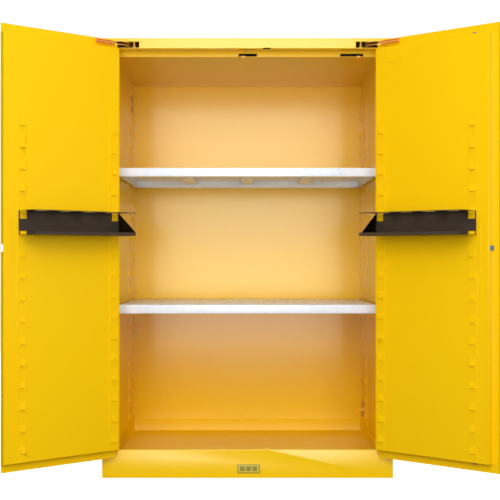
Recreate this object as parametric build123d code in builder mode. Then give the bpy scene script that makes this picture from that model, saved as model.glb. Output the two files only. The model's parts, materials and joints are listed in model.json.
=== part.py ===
"""Flammable storage cabinet: double-wall steel case, two doors, shelves, door trays and latch.

Frame: millimetres, +Z up. The origin is on the floor at the middle of the base and the front
faces -Y. The doors are drawn open, which is where every joint stands at zero.
"""

import os
from math import cos, radians, sin

from build123d import *

# ---- overall sizes -------------------------------------------------------------------------
width = 1092.0
depth = 864.0
height = 1651.0
sheet = 1.2
wall_gap = 38.1

# ---- front opening -------------------------------------------------------------------------
stile_width = 56.0
sill_height = 106.0
fascia_height = 39.0
jamb_depth = 24.0
header_depth = 66.0
ceiling_drop = 20.0
floor_height = 57.5
sump_wall = 50.0

# ---- doors and hinges ----------------------------------------------------------------------
open_angle = 138.0
door_gap = 2.0
skin_depth = 18.0
liner_proud = 24.2
skin_flange = 32.5
flange_tuck = 3.0
liner_gap_z = 4.3
corner_relief = 0.3
meeting_gap = 4.9
skin_gap = 2.6
liner_meeting_x = 2.3
skin_meeting_x = 22.9
astragal_gap = 0.4
lip_inset = 10.5
liner_rebate = 2.6
liner_flange = 14.5
skin_edge = 6.0
liner_edge = 3.0
knuckle_radius = 4.4
pin_radius = 1.6
pin_clearance = 0.06
leaf = 1.6
leaf_width = 28.0
door_leaf_span = (3.6, 22.0)
stiffener_width = 50.0
stiffener_foot = 20.0
knuckle_count = 30
knuckle_gap = 0.6

# ---- slotted standards ---------------------------------------------------------------------
strip_width = 41.0
rail_starts = (11.5, 400.0)
strip_sheet = 1.5
tab_pitch = 76.2
tab_width = 22.0
tab_height = 24.0
tab_proud = 7.0
lowest_tab = 144.0
strip_end = 32.0
strip_head = 22.0
wall_strip_clear = 100.0
door_strip_clear = 300.0
slot_size = (9.0, 3.0)
slot_drop = 25.0

# ---- shelves and trays ---------------------------------------------------------------------
upper_shelf = 1173.0
lower_shelf = 645.0
shelf_lip = 33.0
shelf_setback = 115.0
shelf_side_gap = 1.5
shelf_back_gap = 8.0
bracket_width = 24.0
tray_height = 85.0
tray_standoff = 5.0
tray_reach = 107.0
tray_lip = 12.0
tray_window_gap = 3.0
lower_window = 14.0
upper_window = 29.0
tray_hook = 10
can_hole = 34.0
can_count = 4
can_margin = 15.0
hat_width = 50.0
hat_depth = 20.0

# ---- latch ---------------------------------------------------------------------------------
rod_radius = 7.0
rod_clearance = 0.6
rod_inset = 69.5
rod_travel = 12.0
rod_tip = 6.2
bolt_height = 18.0
bolt_width = 14.0
bolt_reach = 12.0
handle_z = 860.0

cup_width = 82.0
cup_height = 128.0
cup_depth = 17.0
cup_sheet = 2.0
bezel_sheet = 2.5
plug_radius = 9.0
plug_length = 16.0
lock_cover_start = 286.0
lock_cover_side = 13.0
lock_cover_z = (775.0, 950.0)
rod_cover_span = (48.0, 124.0)
rod_cover_height = 51.0
rod_cover_drop = 9.7

# ---- header mechanism ----------------------------------------------------------------------
arm_radius = 46.0
arm_width = 9.0
arm_sheet = 4.0
arm_start = 6.5
arm_over_travel = 2.0
arm_foot = (42.0, 94.0)
arm_foot_sheet = 1.5
arm_lift = 10.0
post_offset = 65.5
post_radius = 3.5
collar_radius = 6.5
link_height = 30.0
spring_start = 110.0
spring_length = 190.0
spring_radius = 9.0
coordinator_slots = ((-34.0, 36.0), (353.0, 441.0))
coordinator_tips = (-16.0, 424.0)

# ---- small parts ---------------------------------------------------------------------------
screw_radius = 4.0
screw_head = 1.2
vent_radius = 27.5
vent_y = 290.0
vent_flange = 9.0
vent_drop = 92.0
low_vent_z = 165.0
stud_offset = 70.0
foot_radius = 20.0
foot_inset = 70.0
stud_radius = 4.0
nut_radius = 7.5
frame_screw_rows = 11
plate_middle = (4.0, 34.5)
plate_size = (86.0, 35.0)
channel_places = (-250.0, -15.0, 215.0)
rear_channel_places = (-300.0, 0.0, 300.0)
channel_flange = 15.0

# ---- places worked out from the sizes above ------------------------------------------------
half_width = width / 2
front = -depth / 2
rear = depth / 2
wall = 2 * sheet + wall_gap
inside_x = half_width - wall
inside_rear = rear - wall
opening_x = half_width - stile_width
fascia_z = height - fascia_height
ceiling_z = fascia_z - ceiling_drop
jamb_back = front + jamb_depth
sill_back = jamb_back
header_back = front + header_depth
lean = radians(open_angle - 90)

pin_front = knuckle_radius + door_gap
flange_plane = pin_front - door_gap
skin_plane = flange_plane - skin_depth
hinge_side_gap = (sin(lean) * (skin_depth - flange_plane) - pin_front) / cos(lean) - corner_relief
liner_plane = flange_plane + liner_proud
pin_x = opening_x + 1.5
pin_y = front - pin_front
liner_bottom = sill_height + liner_gap_z
liner_top = fascia_z - liner_gap_z
skin_bottom = liner_bottom - skin_flange + 1.5
skin_top = liner_top + skin_flange
liner_reach = {-1: pin_x + liner_meeting_x, 1: pin_x - liner_meeting_x - meeting_gap}
skin_reach = {-1: pin_x - skin_meeting_x, 1: pin_x + skin_meeting_x - skin_gap}

strip_bottom = lowest_tab - strip_end
door_tab_count = int((liner_top - door_strip_clear - lowest_tab) / tab_pitch) + 1
wall_tab_count = int((ceiling_z - wall_strip_clear - lowest_tab) / tab_pitch) + 1
door_strip_top = lowest_tab + tab_pitch * (door_tab_count - 1) + tab_height + strip_head
wall_strip_top = lowest_tab + tab_pitch * (wall_tab_count - 1) + tab_height + strip_head
rail_plane = liner_plane + strip_sheet
wall_strip_x = inside_x - strip_sheet
shelf_x = wall_strip_x - tab_proud - shelf_side_gap
shelf_front = front + shelf_setback
shelf_rear = inside_rear - shelf_back_gap
standard_places = (front + 150.0, front + 575.0, inside_rear - 35.0)
tray_bottom = lowest_tab + tab_pitch * tray_hook
tray_back = rail_plane + tray_standoff
tray_span = (rail_starts[0] + 2.5, rail_starts[1] + strip_width - 2.0)
lock_cover_end = rail_starts[1] + strip_width + lock_cover_side
rod_cover_z = (liner_top - rod_cover_drop - rod_cover_height, liner_top - rod_cover_drop)
high_vent_z = ceiling_z - vent_drop
rod_t = pin_x - rod_inset
rod_o = (flange_plane + liner_plane) / 2
pivot_z = handle_z + 40.0
pivot_o = skin_plane + 3.0
plug_z = handle_z - 48.0
post_x = pin_x - post_offset
post_y = front + 11.0
hinge_bottom = skin_bottom + 12.0
hinge_top = skin_top - 12.0
sides = ((-1, "left"), (1, "right"))


# ---- helpers -------------------------------------------------------------------------------
def block(x, y, z, mode=Mode.ADD):
    """A box between two limits on each axis of the current workplane."""
    x, y, z = sorted(x), sorted(y), sorted(z)
    with Locations(((x[0] + x[1]) / 2, (y[0] + y[1]) / 2, (z[0] + z[1]) / 2)):
        Box(x[1] - x[0], y[1] - y[0], z[1] - z[0], mode=mode)


def mirrored(side, a, b):
    """The limits a and b from the middle, on the left (-1) or right (1)."""
    return (side * a, side * b)


def door_plane(side):
    """Workplane of an open door: X runs from the hinge pin to the free edge, Z is up."""
    along = (side * sin(lean), -cos(lean), 0)
    return Plane(origin=(side * pin_x, pin_y, 0), x_dir=along, z_dir=(0, 0, 1))


def door_face(side, inward):
    """Elevation plane of an open door, a distance inward of its hinge pin."""
    along = (side * sin(lean), -cos(lean), 0)
    normal = (-cos(lean), -side * sin(lean), 0)
    base = Plane(origin=(side * pin_x, pin_y, 0), x_dir=along, z_dir=normal)
    return base.offset(side * inward)


def door_block(side, along, inward, z, mode=Mode.ADD):
    """A box in a door's workplane: distance along it, distance inward, and height."""
    block(along, mirrored(-side, *inward), z, mode)


def save(piece, name):
    """Label a finished piece and write its STEP file."""
    piece.part.label = name
    export_step(piece.part, f"parts/{name}.step")


def tab_heights(count):
    """Lower edges of the lanced tabs on one standard."""
    return [lowest_tab + tab_pitch * i for i in range(count)]


# ---- case ----------------------------------------------------------------------------------
def vent_place(side):
    """Depth and height of the vent on one side: high on the left, low on the right."""
    return (vent_y, high_vent_z if side < 0 else low_vent_z)


def make_side_skin(side, name):
    y, z = vent_place(side)
    with BuildPart() as skin:
        block(mirrored(side, half_width - sheet, half_width), (front, rear), (0, height))
        with BuildSketch(Plane.YZ.offset(side * half_width)):
            with Locations((y, z)):
                Circle(vent_radius + 0.3)
        extrude(amount=-side * sheet, mode=Mode.SUBTRACT)
        if side > 0:
            with BuildSketch(Plane.YZ.offset(side * half_width)):
                with Locations((y + stud_offset, z)):
                    Circle(stud_radius + 0.2)
            extrude(amount=-side * sheet, mode=Mode.SUBTRACT)
    save(skin, f"side_skin_{name}")


def make_back_skin():
    with BuildPart() as skin:
        block((-half_width + sheet, half_width - sheet), (rear - sheet, rear), (0, height))
    save(skin, "back_skin")


def make_top_skin():
    with BuildPart() as skin:
        block((-half_width + sheet, half_width - sheet), (front + sheet, rear - sheet),
              (height - sheet, height))
    save(skin, "top_skin")


def foot_places():
    """The four feet, in from the corners of the base."""
    x = half_width - foot_inset
    y = rear - foot_inset
    return [(-x, -y), (x, -y), (-x, y), (x, y)]


def make_bottom_skin():
    with BuildPart() as skin:
        block((-half_width + sheet, half_width - sheet), (front + sheet, rear - sheet), (0, sheet))
        with BuildSketch(Plane.XY):
            with Locations(*foot_places()):
                Circle(foot_radius + 1.0)
        extrude(amount=sheet, mode=Mode.SUBTRACT)
    save(skin, "bottom_skin")


def rod_slot(z, mode):
    """The strike opening for a latch rod, open to the front so that the tip can swing in."""
    y = (front - 1, front + pin_front + rod_o)
    block((rod_inset - rod_radius - 4, rod_inset + rod_radius + 9), y, z, mode)


def make_front_sill():
    edge = half_width - sheet
    notch = rod_tip - liner_gap_z + 1.5
    with BuildPart() as sill:
        block((-edge, edge), (front, front + sheet), (0, sill_height))
        block((-edge, edge), (front, sill_back), (sill_height - sheet, sill_height))
        block((-inside_x, inside_x), (sill_back - sheet, sill_back), (floor_height, sill_height))
        rod_slot((sill_height - notch, sill_height + 1), Mode.SUBTRACT)
    save(sill, "front_sill")


def make_header_fascia():
    edge = half_width - sheet
    notch = rod_tip - liner_gap_z + 1.5
    with BuildPart() as fascia:
        block((-edge, edge), (front, front + sheet), (fascia_z, height - sheet))
        block((-edge, edge), (front, header_back), (fascia_z, fascia_z + sheet))
        for side, _ in sides:
            block(mirrored(side, pin_x - 85, pin_x + 1.5), (front - 1, front + sheet + 1),
                  (fascia_z + 3, fascia_z + 26), Mode.SUBTRACT)
        rod_slot((fascia_z - 1, fascia_z + notch), Mode.SUBTRACT)
    save(fascia, "header_fascia")


def make_stile(side, name):
    with BuildPart() as stile:
        block(mirrored(side, opening_x, half_width - sheet), (front, front + sheet),
              (sill_height, fascia_z))
        block(mirrored(side, opening_x, opening_x + sheet), (front, jamb_back),
              (sill_height, fascia_z))
        block(mirrored(side, opening_x, inside_x + sheet), (jamb_back - sheet, jamb_back),
              (sill_height, fascia_z))
    save(stile, f"stile_{name}")


def make_side_liner(side, name):
    y, z = vent_place(side)
    with BuildPart() as liner:
        block(mirrored(side, inside_x, inside_x + sheet), (jamb_back, inside_rear),
              (floor_height, ceiling_z))
        with BuildSketch(Plane.YZ.offset(side * inside_x)):
            with Locations((y, z)):
                Circle(vent_radius + 0.3)
        extrude(amount=side * sheet, mode=Mode.SUBTRACT)
    save(liner, f"liner_{name}")


def make_back_liner():
    with BuildPart() as liner:
        block((-inside_x - sheet, inside_x + sheet), (inside_rear, inside_rear + sheet),
              (floor_height, ceiling_z))
    save(liner, "liner_back")


def make_top_liner():
    edge = inside_x + sheet
    with BuildPart() as liner:
        block((-edge, edge), (header_back, inside_rear + sheet), (ceiling_z, ceiling_z + sheet))
        block((-edge, edge), (header_back, header_back + sheet), (ceiling_z, fascia_z))
        for x in coordinator_slots:
            block(x, (header_back - 1, header_back + sheet + 1),
                  (ceiling_z + sheet + 0.3, ceiling_z + 12), Mode.SUBTRACT)
    save(liner, "liner_top")


def make_sump_pan():
    edge = inside_x
    z = (floor_height - sheet, floor_height + sump_wall)
    with BuildPart() as pan:
        block((-edge, edge), (sill_back, inside_rear), (floor_height - sheet, floor_height))
        for side, _ in sides:
            block(mirrored(side, edge - sheet, edge), (sill_back, inside_rear), z)
        block((-edge, edge), (inside_rear - sheet, inside_rear), z)
        block((-edge, edge), (sill_back, sill_back + sheet), (floor_height - sheet, sill_height))
    save(pan, "sump_pan")


def make_frame_channels():
    """Folded spacers that hold the liners off the outer skins, and the bearers under the sump."""
    flange = channel_flange
    z = (sill_height, ceiling_z - 10)
    with BuildPart() as channels:
        for side, _ in sides:
            outer = half_width - sheet
            inner = inside_x + sheet
            for y in channel_places:
                block(mirrored(side, inner, outer), (y, y + sheet), z)
                block(mirrored(side, inner, inner + sheet), (y, y + flange), z)
                block(mirrored(side, outer - sheet, outer), (y, y - flange), z)
        for x in rear_channel_places:
            inner = inside_rear + sheet
            outer = rear - sheet
            block((x, x + sheet), (inner, outer), z)
            block((x, x + flange), (inner, inner + sheet), z)
            block((x, x - flange), (outer - sheet, outer), z)
            bearer = (sheet, floor_height - sheet)
            block((x, x + sheet), (sill_back + 5, inside_rear - 20), bearer)
            block((x, x + flange), (sill_back + 5, inside_rear - 20), (sheet, 2 * sheet))
            block((x, x - flange), (sill_back + 5, inside_rear - 20), (bearer[1] - sheet, bearer[1]))
    save(channels, "frame_channels")


# ---- slotted standards, shelves and brackets -----------------------------------------------
def tab_outline(facing):
    """Profile of a lanced tab: flush at its top, standing proud and open at its bottom."""
    slope = tab_height - 4.0
    return [
        (0, tab_height),
        (facing * tab_proud, tab_height - slope),
        (facing * tab_proud, 0),
        (facing * (tab_proud - strip_sheet), 0),
        (facing * (tab_proud - strip_sheet), tab_height - slope - 0.6),
        (0, tab_height - 5.5),
    ]


def make_wall_standards(side, name):
    with BuildPart() as rails:
        for y in standard_places:
            block(mirrored(side, wall_strip_x, inside_x), (y - strip_width / 2, y + strip_width / 2),
                  (floor_height + sump_wall + 2, wall_strip_top))
            start = Plane(origin=(side * wall_strip_x, y - tab_width / 2, 0), x_dir=(1, 0, 0),
                          z_dir=(0, -1, 0))
            with BuildSketch(start):
                with Locations(*[(0, z) for z in tab_heights(wall_tab_count)]):
                    Polygon(*tab_outline(-side), align=None)
            extrude(amount=-tab_width)
            with BuildSketch(Plane.YZ.offset(side * inside_x)):
                with Locations(*[(y, z - slot_drop) for z in tab_heights(wall_tab_count)[1:]]):
                    Rectangle(*slot_size)
            extrude(amount=-side * strip_sheet, mode=Mode.SUBTRACT)
    save(rails, f"standards_{name}")


def make_shelf(z, name):
    with BuildPart() as shelf:
        block((-shelf_x, shelf_x), (shelf_front, shelf_rear), (z - sheet, z))
        block((-shelf_x, shelf_x), (shelf_front, shelf_front + sheet), (z - shelf_lip, z))
        block((-shelf_x, shelf_x), (shelf_front, shelf_front + 14),
              (z - shelf_lip, z - shelf_lip + sheet))
        block((-shelf_x, shelf_x), (shelf_rear - sheet, shelf_rear), (z - shelf_lip, z))
        for side, _ in sides:
            block(mirrored(side, shelf_x - sheet, shelf_x), (shelf_front, shelf_rear),
                  (z - shelf_lip, z))
        for x in (-shelf_x / 2, 0, shelf_x / 2):
            low, high = x - hat_width / 2, x + hat_width / 2
            block((low, high), (shelf_front, shelf_rear), (z - hat_depth, z - hat_depth + sheet))
            block((low, low + sheet), (shelf_front, shelf_rear), (z - hat_depth, z))
            block((high - sheet, high), (shelf_front, shelf_rear), (z - hat_depth, z))
    save(shelf, name)


def make_shelf_brackets():
    """Hangers hooked on the wall standards: the shelf's rolled edge sits on each one's foot."""
    with BuildPart() as brackets:
        for z in (upper_shelf, lower_shelf):
            seat = z - shelf_lip
            for side, _ in sides:
                for y in (standard_places[0], standard_places[2]):
                    span = (y - bracket_width / 2, y + bracket_width / 2)
                    block(mirrored(side, shelf_x - 22, shelf_x + 1), span, (seat - 2, seat))
                    block(mirrored(side, shelf_x + 0.3, shelf_x + 1.3), span, (seat - 2, z - 4))
    save(brackets, "shelf_brackets")


# ---- hinges --------------------------------------------------------------------------------
def knuckle_spans(first):
    """Heights of every second knuckle of the hinge, from the first or the second one."""
    pitch = (hinge_top - hinge_bottom) / knuckle_count
    for i in range(first, knuckle_count, 2):
        low = hinge_bottom + i * pitch
        yield low + knuckle_gap / 2, low + pitch - knuckle_gap / 2


def make_frame_leaf(side, name):
    edge = pin_x + knuckle_radius / 2
    with BuildPart() as hinge:
        block(mirrored(side, edge, pin_x + leaf_width), (front - leaf, front),
              (hinge_bottom, hinge_top))
        for low, high in knuckle_spans(0):
            with BuildSketch(Plane.XY.offset(low)):
                with Locations((side * pin_x, pin_y)):
                    Circle(knuckle_radius)
                    Circle(pin_radius + pin_clearance, mode=Mode.SUBTRACT)
                with Locations((side * (pin_x + knuckle_radius / 2 + 0.4), front - leaf)):
                    Rectangle(knuckle_radius - 0.6, 2 * leaf)
            extrude(amount=high - low)
    save(hinge, f"hinge_leaf_frame_{name}")


def make_door_leaf(side, name):
    with BuildPart(door_plane(side)) as hinge:
        door_block(side, (hinge_side_gap - 2, hinge_side_gap), door_leaf_span,
                   (liner_bottom, liner_top))
        for low, high in knuckle_spans(1):
            with BuildSketch(door_plane(side).offset(low)):
                Circle(knuckle_radius)
                with Locations(((hinge_side_gap + 2.2) / 2, -side * 2.6)):
                    Rectangle(hinge_side_gap - 2.2, 2.2)
                Circle(pin_radius + pin_clearance, mode=Mode.SUBTRACT)
            extrude(amount=high - low)
    save(hinge, f"hinge_leaf_door_{name}")


def make_hinge_pins():
    with BuildPart() as pins:
        with BuildSketch(Plane.XY.offset(hinge_bottom - 1)):
            with Locations(*[(side * pin_x, pin_y) for side, _ in sides]):
                Circle(pin_radius)
        extrude(amount=hinge_top - hinge_bottom + 2)
        for z in (hinge_bottom - 2.5, hinge_top + 1.0):
            with BuildSketch(Plane.XY.offset(z)):
                with Locations(*[(side * pin_x, pin_y) for side, _ in sides]):
                    Circle(pin_radius + 1.2)
            extrude(amount=1.5)
    save(pins, "hinge_pins")


# ---- doors ---------------------------------------------------------------------------------
def make_door_skin(side, name):
    """Outer pan of a door: face, walls and the flange strip that the liner sits on.

    The left one also has the stepped lip that the right door's edge closes over.
    """
    reach = skin_reach[side]
    with BuildPart() as skin:
        with BuildSketch(door_face(side, skin_plane)):
            with Locations(((hinge_side_gap + reach) / 2, (skin_bottom + skin_top) / 2)):
                Rectangle(reach - hinge_side_gap, skin_top - skin_bottom)
        extrude(amount=side * skin_depth)
        outward = Axis((0, 0, 0), (cos(lean) * side, sin(lean), 0))
        outer_face = skin.faces().sort_by(outward)[-1]
        fillet(outer_face.edges(), radius=skin_edge)
        inner_face = skin.faces().sort_by(outward)[0]
        offset(amount=-sheet, openings=inner_face)
        with BuildSketch(door_face(side, flange_plane - sheet)):
            with Locations(((hinge_side_gap + reach) / 2, (skin_bottom + skin_top) / 2)):
                Rectangle(reach - hinge_side_gap, skin_top - skin_bottom)
            window = (hinge_side_gap + sheet, min(reach, liner_reach[side]) - flange_tuck)
            with Locations(((window[0] + window[1]) / 2, (liner_bottom + liner_top) / 2)):
                Rectangle(window[1] - window[0], liner_top - liner_bottom - 2 * flange_tuck,
                          mode=Mode.SUBTRACT)
        extrude(amount=side * sheet)
        if side > 0:
            with BuildSketch(door_face(side, skin_plane - 1)):
                with Locations((rod_t, handle_z)):
                    RectangleRounded(cup_width + 0.6, cup_height + 0.6, 8.3)
            extrude(amount=side * (sheet + 3), mode=Mode.SUBTRACT)
    if side < 0:
        with BuildPart(door_plane(side)) as lip:
            root = reach - 8
            lip_face = flange_plane + astragal_gap
            lip_sheet = (lip_face, lip_face + sheet)
            door_block(side, (root, pin_x - lip_inset), lip_sheet, (skin_bottom, skin_top))
            door_block(side, (root, root + sheet), (flange_plane - sheet, lip_face + sheet),
                       (skin_bottom, skin_top))
            for z in ((skin_bottom, liner_bottom - 1), (liner_top + 1, skin_top)):
                door_block(side, (root, pin_x), lip_sheet, z)
        skin.part = skin.part + lip.part
    save(skin, f"door_skin_{name}")


def make_door_liner(side, name):
    """Inner pan of a door: the raised face and its four walls, open towards the skin."""
    reach = liner_reach[side]
    with BuildPart(door_plane(side)) as liner:
        with BuildSketch(door_face(side, flange_plane)):
            with Locations(((hinge_side_gap + reach) / 2, (liner_bottom + liner_top) / 2)):
                Rectangle(reach - hinge_side_gap, liner_top - liner_bottom)
        extrude(amount=side * liner_proud)
        inward = Axis((0, 0, 0), (-cos(lean) * side, -sin(lean), 0))
        fillet(liner.faces().sort_by(inward)[-1].edges(), radius=liner_edge)
        offset(amount=-sheet, openings=liner.faces().sort_by(inward)[0])
        if side < 0:
            door_block(side, (skin_reach[side] - 8, reach + 1),
                       (flange_plane - 1, flange_plane + liner_rebate),
                       (liner_bottom - 1, liner_top + 1), Mode.SUBTRACT)
            strike = (rod_o - bolt_width / 2 - 1, rod_o + bolt_width / 2 + 1)
            door_block(side, (reach - 3, reach + 1), strike,
                       (handle_z - bolt_height / 2 - 4, handle_z + bolt_height / 2 + 4),
                       Mode.SUBTRACT)
        else:
            door_block(side, (reach - 3, reach + 1),
                       (rod_o - bolt_width / 2 - 0.5, rod_o + bolt_width / 2 + 0.5),
                       (handle_z - bolt_height / 2 - 0.5, handle_z + bolt_height / 2 + 0.5),
                       Mode.SUBTRACT)
            with BuildSketch(door_plane(side).offset(liner_bottom - 1)):
                with Locations((rod_t, -side * rod_o)):
                    Circle(rod_radius + rod_clearance)
            extrude(amount=liner_top - liner_bottom + 2, mode=Mode.SUBTRACT)
            door_block(side, (reach - sheet, reach + liner_flange), (flange_plane, flange_plane + sheet),
                       (liner_bottom, liner_top))
    save(liner, f"door_liner_{name}")


def make_door_stiffener(side, name):
    """Upright hat channel inside a door, between the skin and the liner."""
    middle = 0.5 * skin_reach[side]
    left, right = middle - stiffener_width / 2, middle + stiffener_width / 2
    low, high = liner_bottom + 12, liner_top - 12
    near, far = skin_plane + sheet, liner_plane - sheet
    with BuildPart(door_plane(side)) as channel:
        for t in (left, right - sheet):
            door_block(side, (t, t + sheet), (near, far), (low, high))
        door_block(side, (left, right), (far - sheet, far), (low, high))
        door_block(side, (left - stiffener_foot, left + sheet), (near, near + sheet), (low, high))
        door_block(side, (right - sheet, right + stiffener_foot), (near, near + sheet), (low, high))
    save(channel, f"door_stiffener_{name}")


def make_tray_rails(side, name):
    with BuildPart(door_plane(side)) as rails:
        for t in rail_starts:
            door_block(side, (t, t + strip_width), (liner_plane, rail_plane),
                       (strip_bottom, door_strip_top))
            middle = t + strip_width / 2
            start = door_plane(side).from_local_coords(
                Vector(middle - tab_width / 2, -side * rail_plane, 0))
            section = Plane(origin=start, x_dir=(-side * cos(lean), -sin(lean), 0),
                            z_dir=(-sin(lean), side * cos(lean), 0))
            with BuildSketch(section):
                with Locations(*[(0, z) for z in tab_heights(door_tab_count)]):
                    Polygon(*tab_outline(1), align=None)
            extrude(amount=-side * tab_width)
            with BuildSketch(door_face(side, liner_plane)):
                with Locations(*[(middle, z - slot_drop) for z in tab_heights(door_tab_count)[1:]]):
                    Rectangle(*slot_size)
            extrude(amount=side * strip_sheet, mode=Mode.SUBTRACT)
    save(rails, f"tray_rails_{name}")


def make_tray(side, name):
    """Steel tray on a door: back plate with windows for the tabs, ledge and front lip."""
    near, far = tray_back, tray_back + tray_reach
    low, high = tray_bottom, tray_bottom + tray_height
    window = tab_width / 2 + tray_window_gap
    with BuildPart(door_plane(side)) as tray:
        door_block(side, tray_span, (near, near + sheet), (low, high))
        door_block(side, tray_span, (near, far), (low, low + sheet))
        door_block(side, tray_span, (far - sheet, far), (low, low + tray_lip))
        for t in rail_starts:
            middle = t + strip_width / 2
            for z in ((low - 1, low + lower_window), (high - upper_window, high + 1)):
                door_block(side, (middle - window, middle + window), (near - 1, near + tab_proud), z,
                           Mode.SUBTRACT)
            door_block(side, (middle - 8, middle + 8), (rail_plane, near + sheet),
                       (low + tray_height / 3, low + tray_height / 2))
    save(tray, f"tray_{name}")


def make_tray_grid(side, name):
    """Upper plate of a tray, with a row of round holes that steady the cans."""
    far = tray_back + tray_reach
    top = tray_bottom + tray_height
    window = tab_width / 2 + tray_window_gap
    with BuildPart(door_plane(side)) as grid:
        door_block(side, tray_span, (tray_back + sheet, far), (top - sheet, top))
        door_block(side, tray_span, (far - sheet, far), (top - 3, top))
        for t in rail_starts:
            middle = t + strip_width / 2
            door_block(side, (middle - window, middle + window), (tray_back - 1, tray_back + tab_proud),
                       (top - 5, top + 1), Mode.SUBTRACT)
        with BuildSketch(door_plane(side).offset(top - 2 * sheet)):
            with Locations(*can_places(side)):
                Circle(can_hole)
        extrude(amount=3 * sheet, mode=Mode.SUBTRACT)
    save(grid, f"tray_grid_{name}")


def can_places(side):
    """Centres of the can holes in a door's workplane."""
    start, end = tray_span
    pitch = (end - start - 2 * can_margin) / can_count
    middle = tray_back + (tray_reach + tab_proud - 2) / 2
    return [(start + can_margin + pitch * (i + 0.5), -side * middle) for i in range(can_count)]


def make_swing_arm(side, name):
    """Flat quadrant on a door: it runs through the header slot on an arc about the hinge pin."""
    z = fascia_z + arm_lift
    inner, outer = arm_radius - arm_width / 2, arm_radius + arm_width / 2
    first, sweep_angle = -side * arm_start, -side * (open_angle + arm_over_travel)
    near = arm_foot[0]
    with BuildPart(door_plane(side)) as arm:
        door_block(side, arm_foot, (flange_plane, flange_plane + arm_foot_sheet), (z - 5, z + 11))
        door_block(side, (near, near + 14), (flange_plane, flange_plane + 14), (z, z + arm_sheet))
        with BuildSketch(door_plane(side).offset(z)):
            with BuildLine():
                long_arc = CenterArc((0, 0), outer, first, sweep_angle)
                short_arc = CenterArc((0, 0), inner, first, sweep_angle)
                Line(long_arc @ 0, short_arc @ 0)
                Line(long_arc @ 1, short_arc @ 1)
            make_face()
        extrude(amount=arm_sheet)
    save(arm, f"swing_arm_{name}")


def door_screw(side, along, inward, z):
    """One low screw head on a face of the door, in the door's workplane."""
    centre = door_plane(side).from_local_coords(Vector(along, -side * inward, z))
    normal = (-side * cos(lean), -sin(lean), 0)
    with BuildSketch(Plane(origin=centre, z_dir=normal)) as head:
        Circle(screw_radius)
    return head.sketch


def make_cover_screws():
    """Low painted heads of the screws that hold the right door's two covers."""
    places = [(t, z) for t in (lock_cover_start + 10, lock_cover_end - 6)
              for z in (lock_cover_z[0] + 10, tray_bottom - 12)]
    places += [(t, sum(rod_cover_z) / 2) for t in (rod_cover_span[0] + 8, rod_cover_span[1] - 8)]
    with BuildPart() as screws:
        for along, z in places:
            extrude(door_screw(1, along, liner_plane + sheet, z), amount=screw_head)
    save(screws, "cover_screws")


def make_lock_cover():
    """Removable plates over the lock case, one each side of the outer tray rail."""
    low, high = lock_cover_z
    with BuildPart(door_plane(1)) as cover:
        door_block(1, (lock_cover_start, lock_cover_end), (liner_plane, liner_plane + sheet),
                   (low, high))
        door_block(1, (rail_starts[1] - 1, rail_starts[1] + strip_width + 1),
                   (liner_plane - 1, liner_plane + sheet + 1), (low - 1, high + 1), Mode.SUBTRACT)
    save(cover, "lock_cover")


def make_rod_cover():
    with BuildPart(door_plane(1)) as cover:
        door_block(1, rod_cover_span, (liner_plane, liner_plane + sheet), rod_cover_z)
    save(cover, "rod_cover")


# ---- latch ---------------------------------------------------------------------------------
def make_handle_bezel():
    """Bezel and recessed cup of the paddle handle, with the pivot ears and the lock barrel."""
    with BuildPart(door_plane(1)) as bezel:
        with BuildSketch(door_face(1, skin_plane - bezel_sheet)):
            with Locations((rod_t, handle_z)):
                RectangleRounded(cup_width + 26, cup_height + 26, 14)
        extrude(amount=bezel_sheet)
        with BuildSketch(door_face(1, skin_plane)):
            with Locations((rod_t, handle_z)):
                RectangleRounded(cup_width, cup_height, 8)
        extrude(amount=cup_depth)
        with BuildSketch(door_face(1, skin_plane - bezel_sheet - 1)):
            with Locations((rod_t, handle_z + 14)):
                RectangleRounded(cup_width - 2 * cup_sheet, cup_height - 28 - 2 * cup_sheet, 6)
        extrude(amount=bezel_sheet + 1 + cup_depth - cup_sheet, mode=Mode.SUBTRACT)
        with BuildSketch(door_face(1, skin_plane - bezel_sheet - 1)):
            with Locations((rod_t, plug_z)):
                Circle(plug_radius + 0.2)
        extrude(amount=plug_length + 2, mode=Mode.SUBTRACT)
    save(bezel, "handle_bezel")


def make_paddle():
    """Pull paddle: a plate with a rolled lower edge, on a pivot pin across the cup's top."""
    half = cup_width / 2 - cup_sheet - 1.2
    low = handle_z - 20
    with BuildPart(door_plane(1)) as paddle:
        door_block(1, (rod_t - half, rod_t + half), (skin_plane - 5.5, skin_plane - 2.0),
                   (low, pivot_z + 7))
        door_block(1, (rod_t - half, rod_t + half), (skin_plane - 2.5, skin_plane + 4.0),
                   (pivot_z - 4, pivot_z + 4))
        door_block(1, (rod_t - half, rod_t + half), (skin_plane - 9.5, skin_plane - 2.0),
                   (low - 4, low + 2))
        along = (sin(lean), -cos(lean), 0)
        start = door_plane(1).from_local_coords(Vector(rod_t - half - 0.9, -pivot_o, pivot_z))
        with BuildSketch(Plane(origin=start, z_dir=along)):
            Circle(3)
        extrude(amount=2 * half + 1.8)
    save(paddle, "paddle")


def make_key_plug():
    """Turning plug of the key lock, with its key slot."""
    with BuildPart(door_plane(1)) as plug:
        with BuildSketch(door_face(1, skin_plane - bezel_sheet - 0.8)):
            with Locations((rod_t, plug_z)):
                Circle(plug_radius)
        extrude(amount=plug_length)
        door_block(1, (rod_t - 1, rod_t + 1), (skin_plane - bezel_sheet - 2, skin_plane + 3),
                   (plug_z - 5, plug_z + 5), Mode.SUBTRACT)
    save(plug, "key_plug")


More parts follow.
